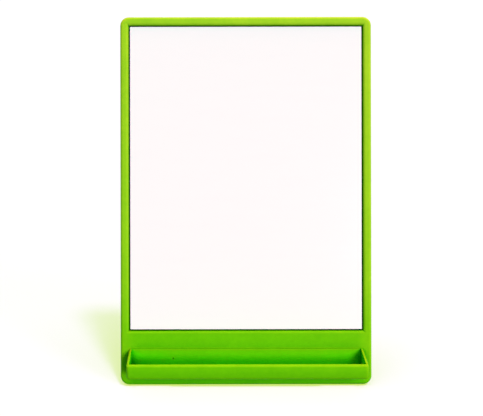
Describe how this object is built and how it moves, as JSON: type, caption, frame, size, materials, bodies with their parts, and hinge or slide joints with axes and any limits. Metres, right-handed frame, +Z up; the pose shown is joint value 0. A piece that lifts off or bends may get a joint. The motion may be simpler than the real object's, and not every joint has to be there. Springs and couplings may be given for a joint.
{
  "type": "magnetic desk whiteboard easel",
  "caption": "Portrait magnetic whiteboard in a moulded frame with a pen tray across its apron, standing on a prop leg that folds into its back.",
  "frame": {"origin": "on the desk, in the middle of the easel's footprint, with the leg open", "axes": "+Z up, +X to the viewer's right when looking at the writing face, and the writing face looks towards -Y and up"},
  "size_m": [0.2206, 0.161, 0.3082],
  "materials": {
    "lime_plastic": "satin moulded lime green",
    "white_enamel": "glossy white enamel on steel",
    "hardboard": "raw hardboard",
    "foam_tape": "closed cell foam",
    "steel": "zinc plated",
    "rubber": "matte black",
    "nylon": "natural"
  },
  "bodies": {
    "board": {"front_frame": "lime_plastic", "rear_cover": "lime_plastic", "writing_sheet": "white_enamel", "panel_core": "hardboard", "foam_tape_strips": "foam_tape", "pen_tray": "lime_plastic", "tray_screws": "steel", "cover_screws": "steel", "front_foot_left": "rubber", "front_foot_right": "rubber", "hinge_pin": "steel", "hinge_cap_left": "lime_plastic", "hinge_cap_right": "lime_plastic", "hinge_cap_screws": "steel", "hinge_washer_left": "nylon", "hinge_washer_right": "nylon"},
    "leg": {"prop_leg": "lime_plastic", "leg_foot_left": "rubber", "leg_foot_right": "rubber"}
  },
  "joints": [
    {"name": "leg_fold", "type": "hinge", "parent": "board", "child": "leg", "pos_m": [0, 0.01853, 0.19527], "axis": [-1, 0, 0], "range_deg": [0, 36.82]}
  ]
}
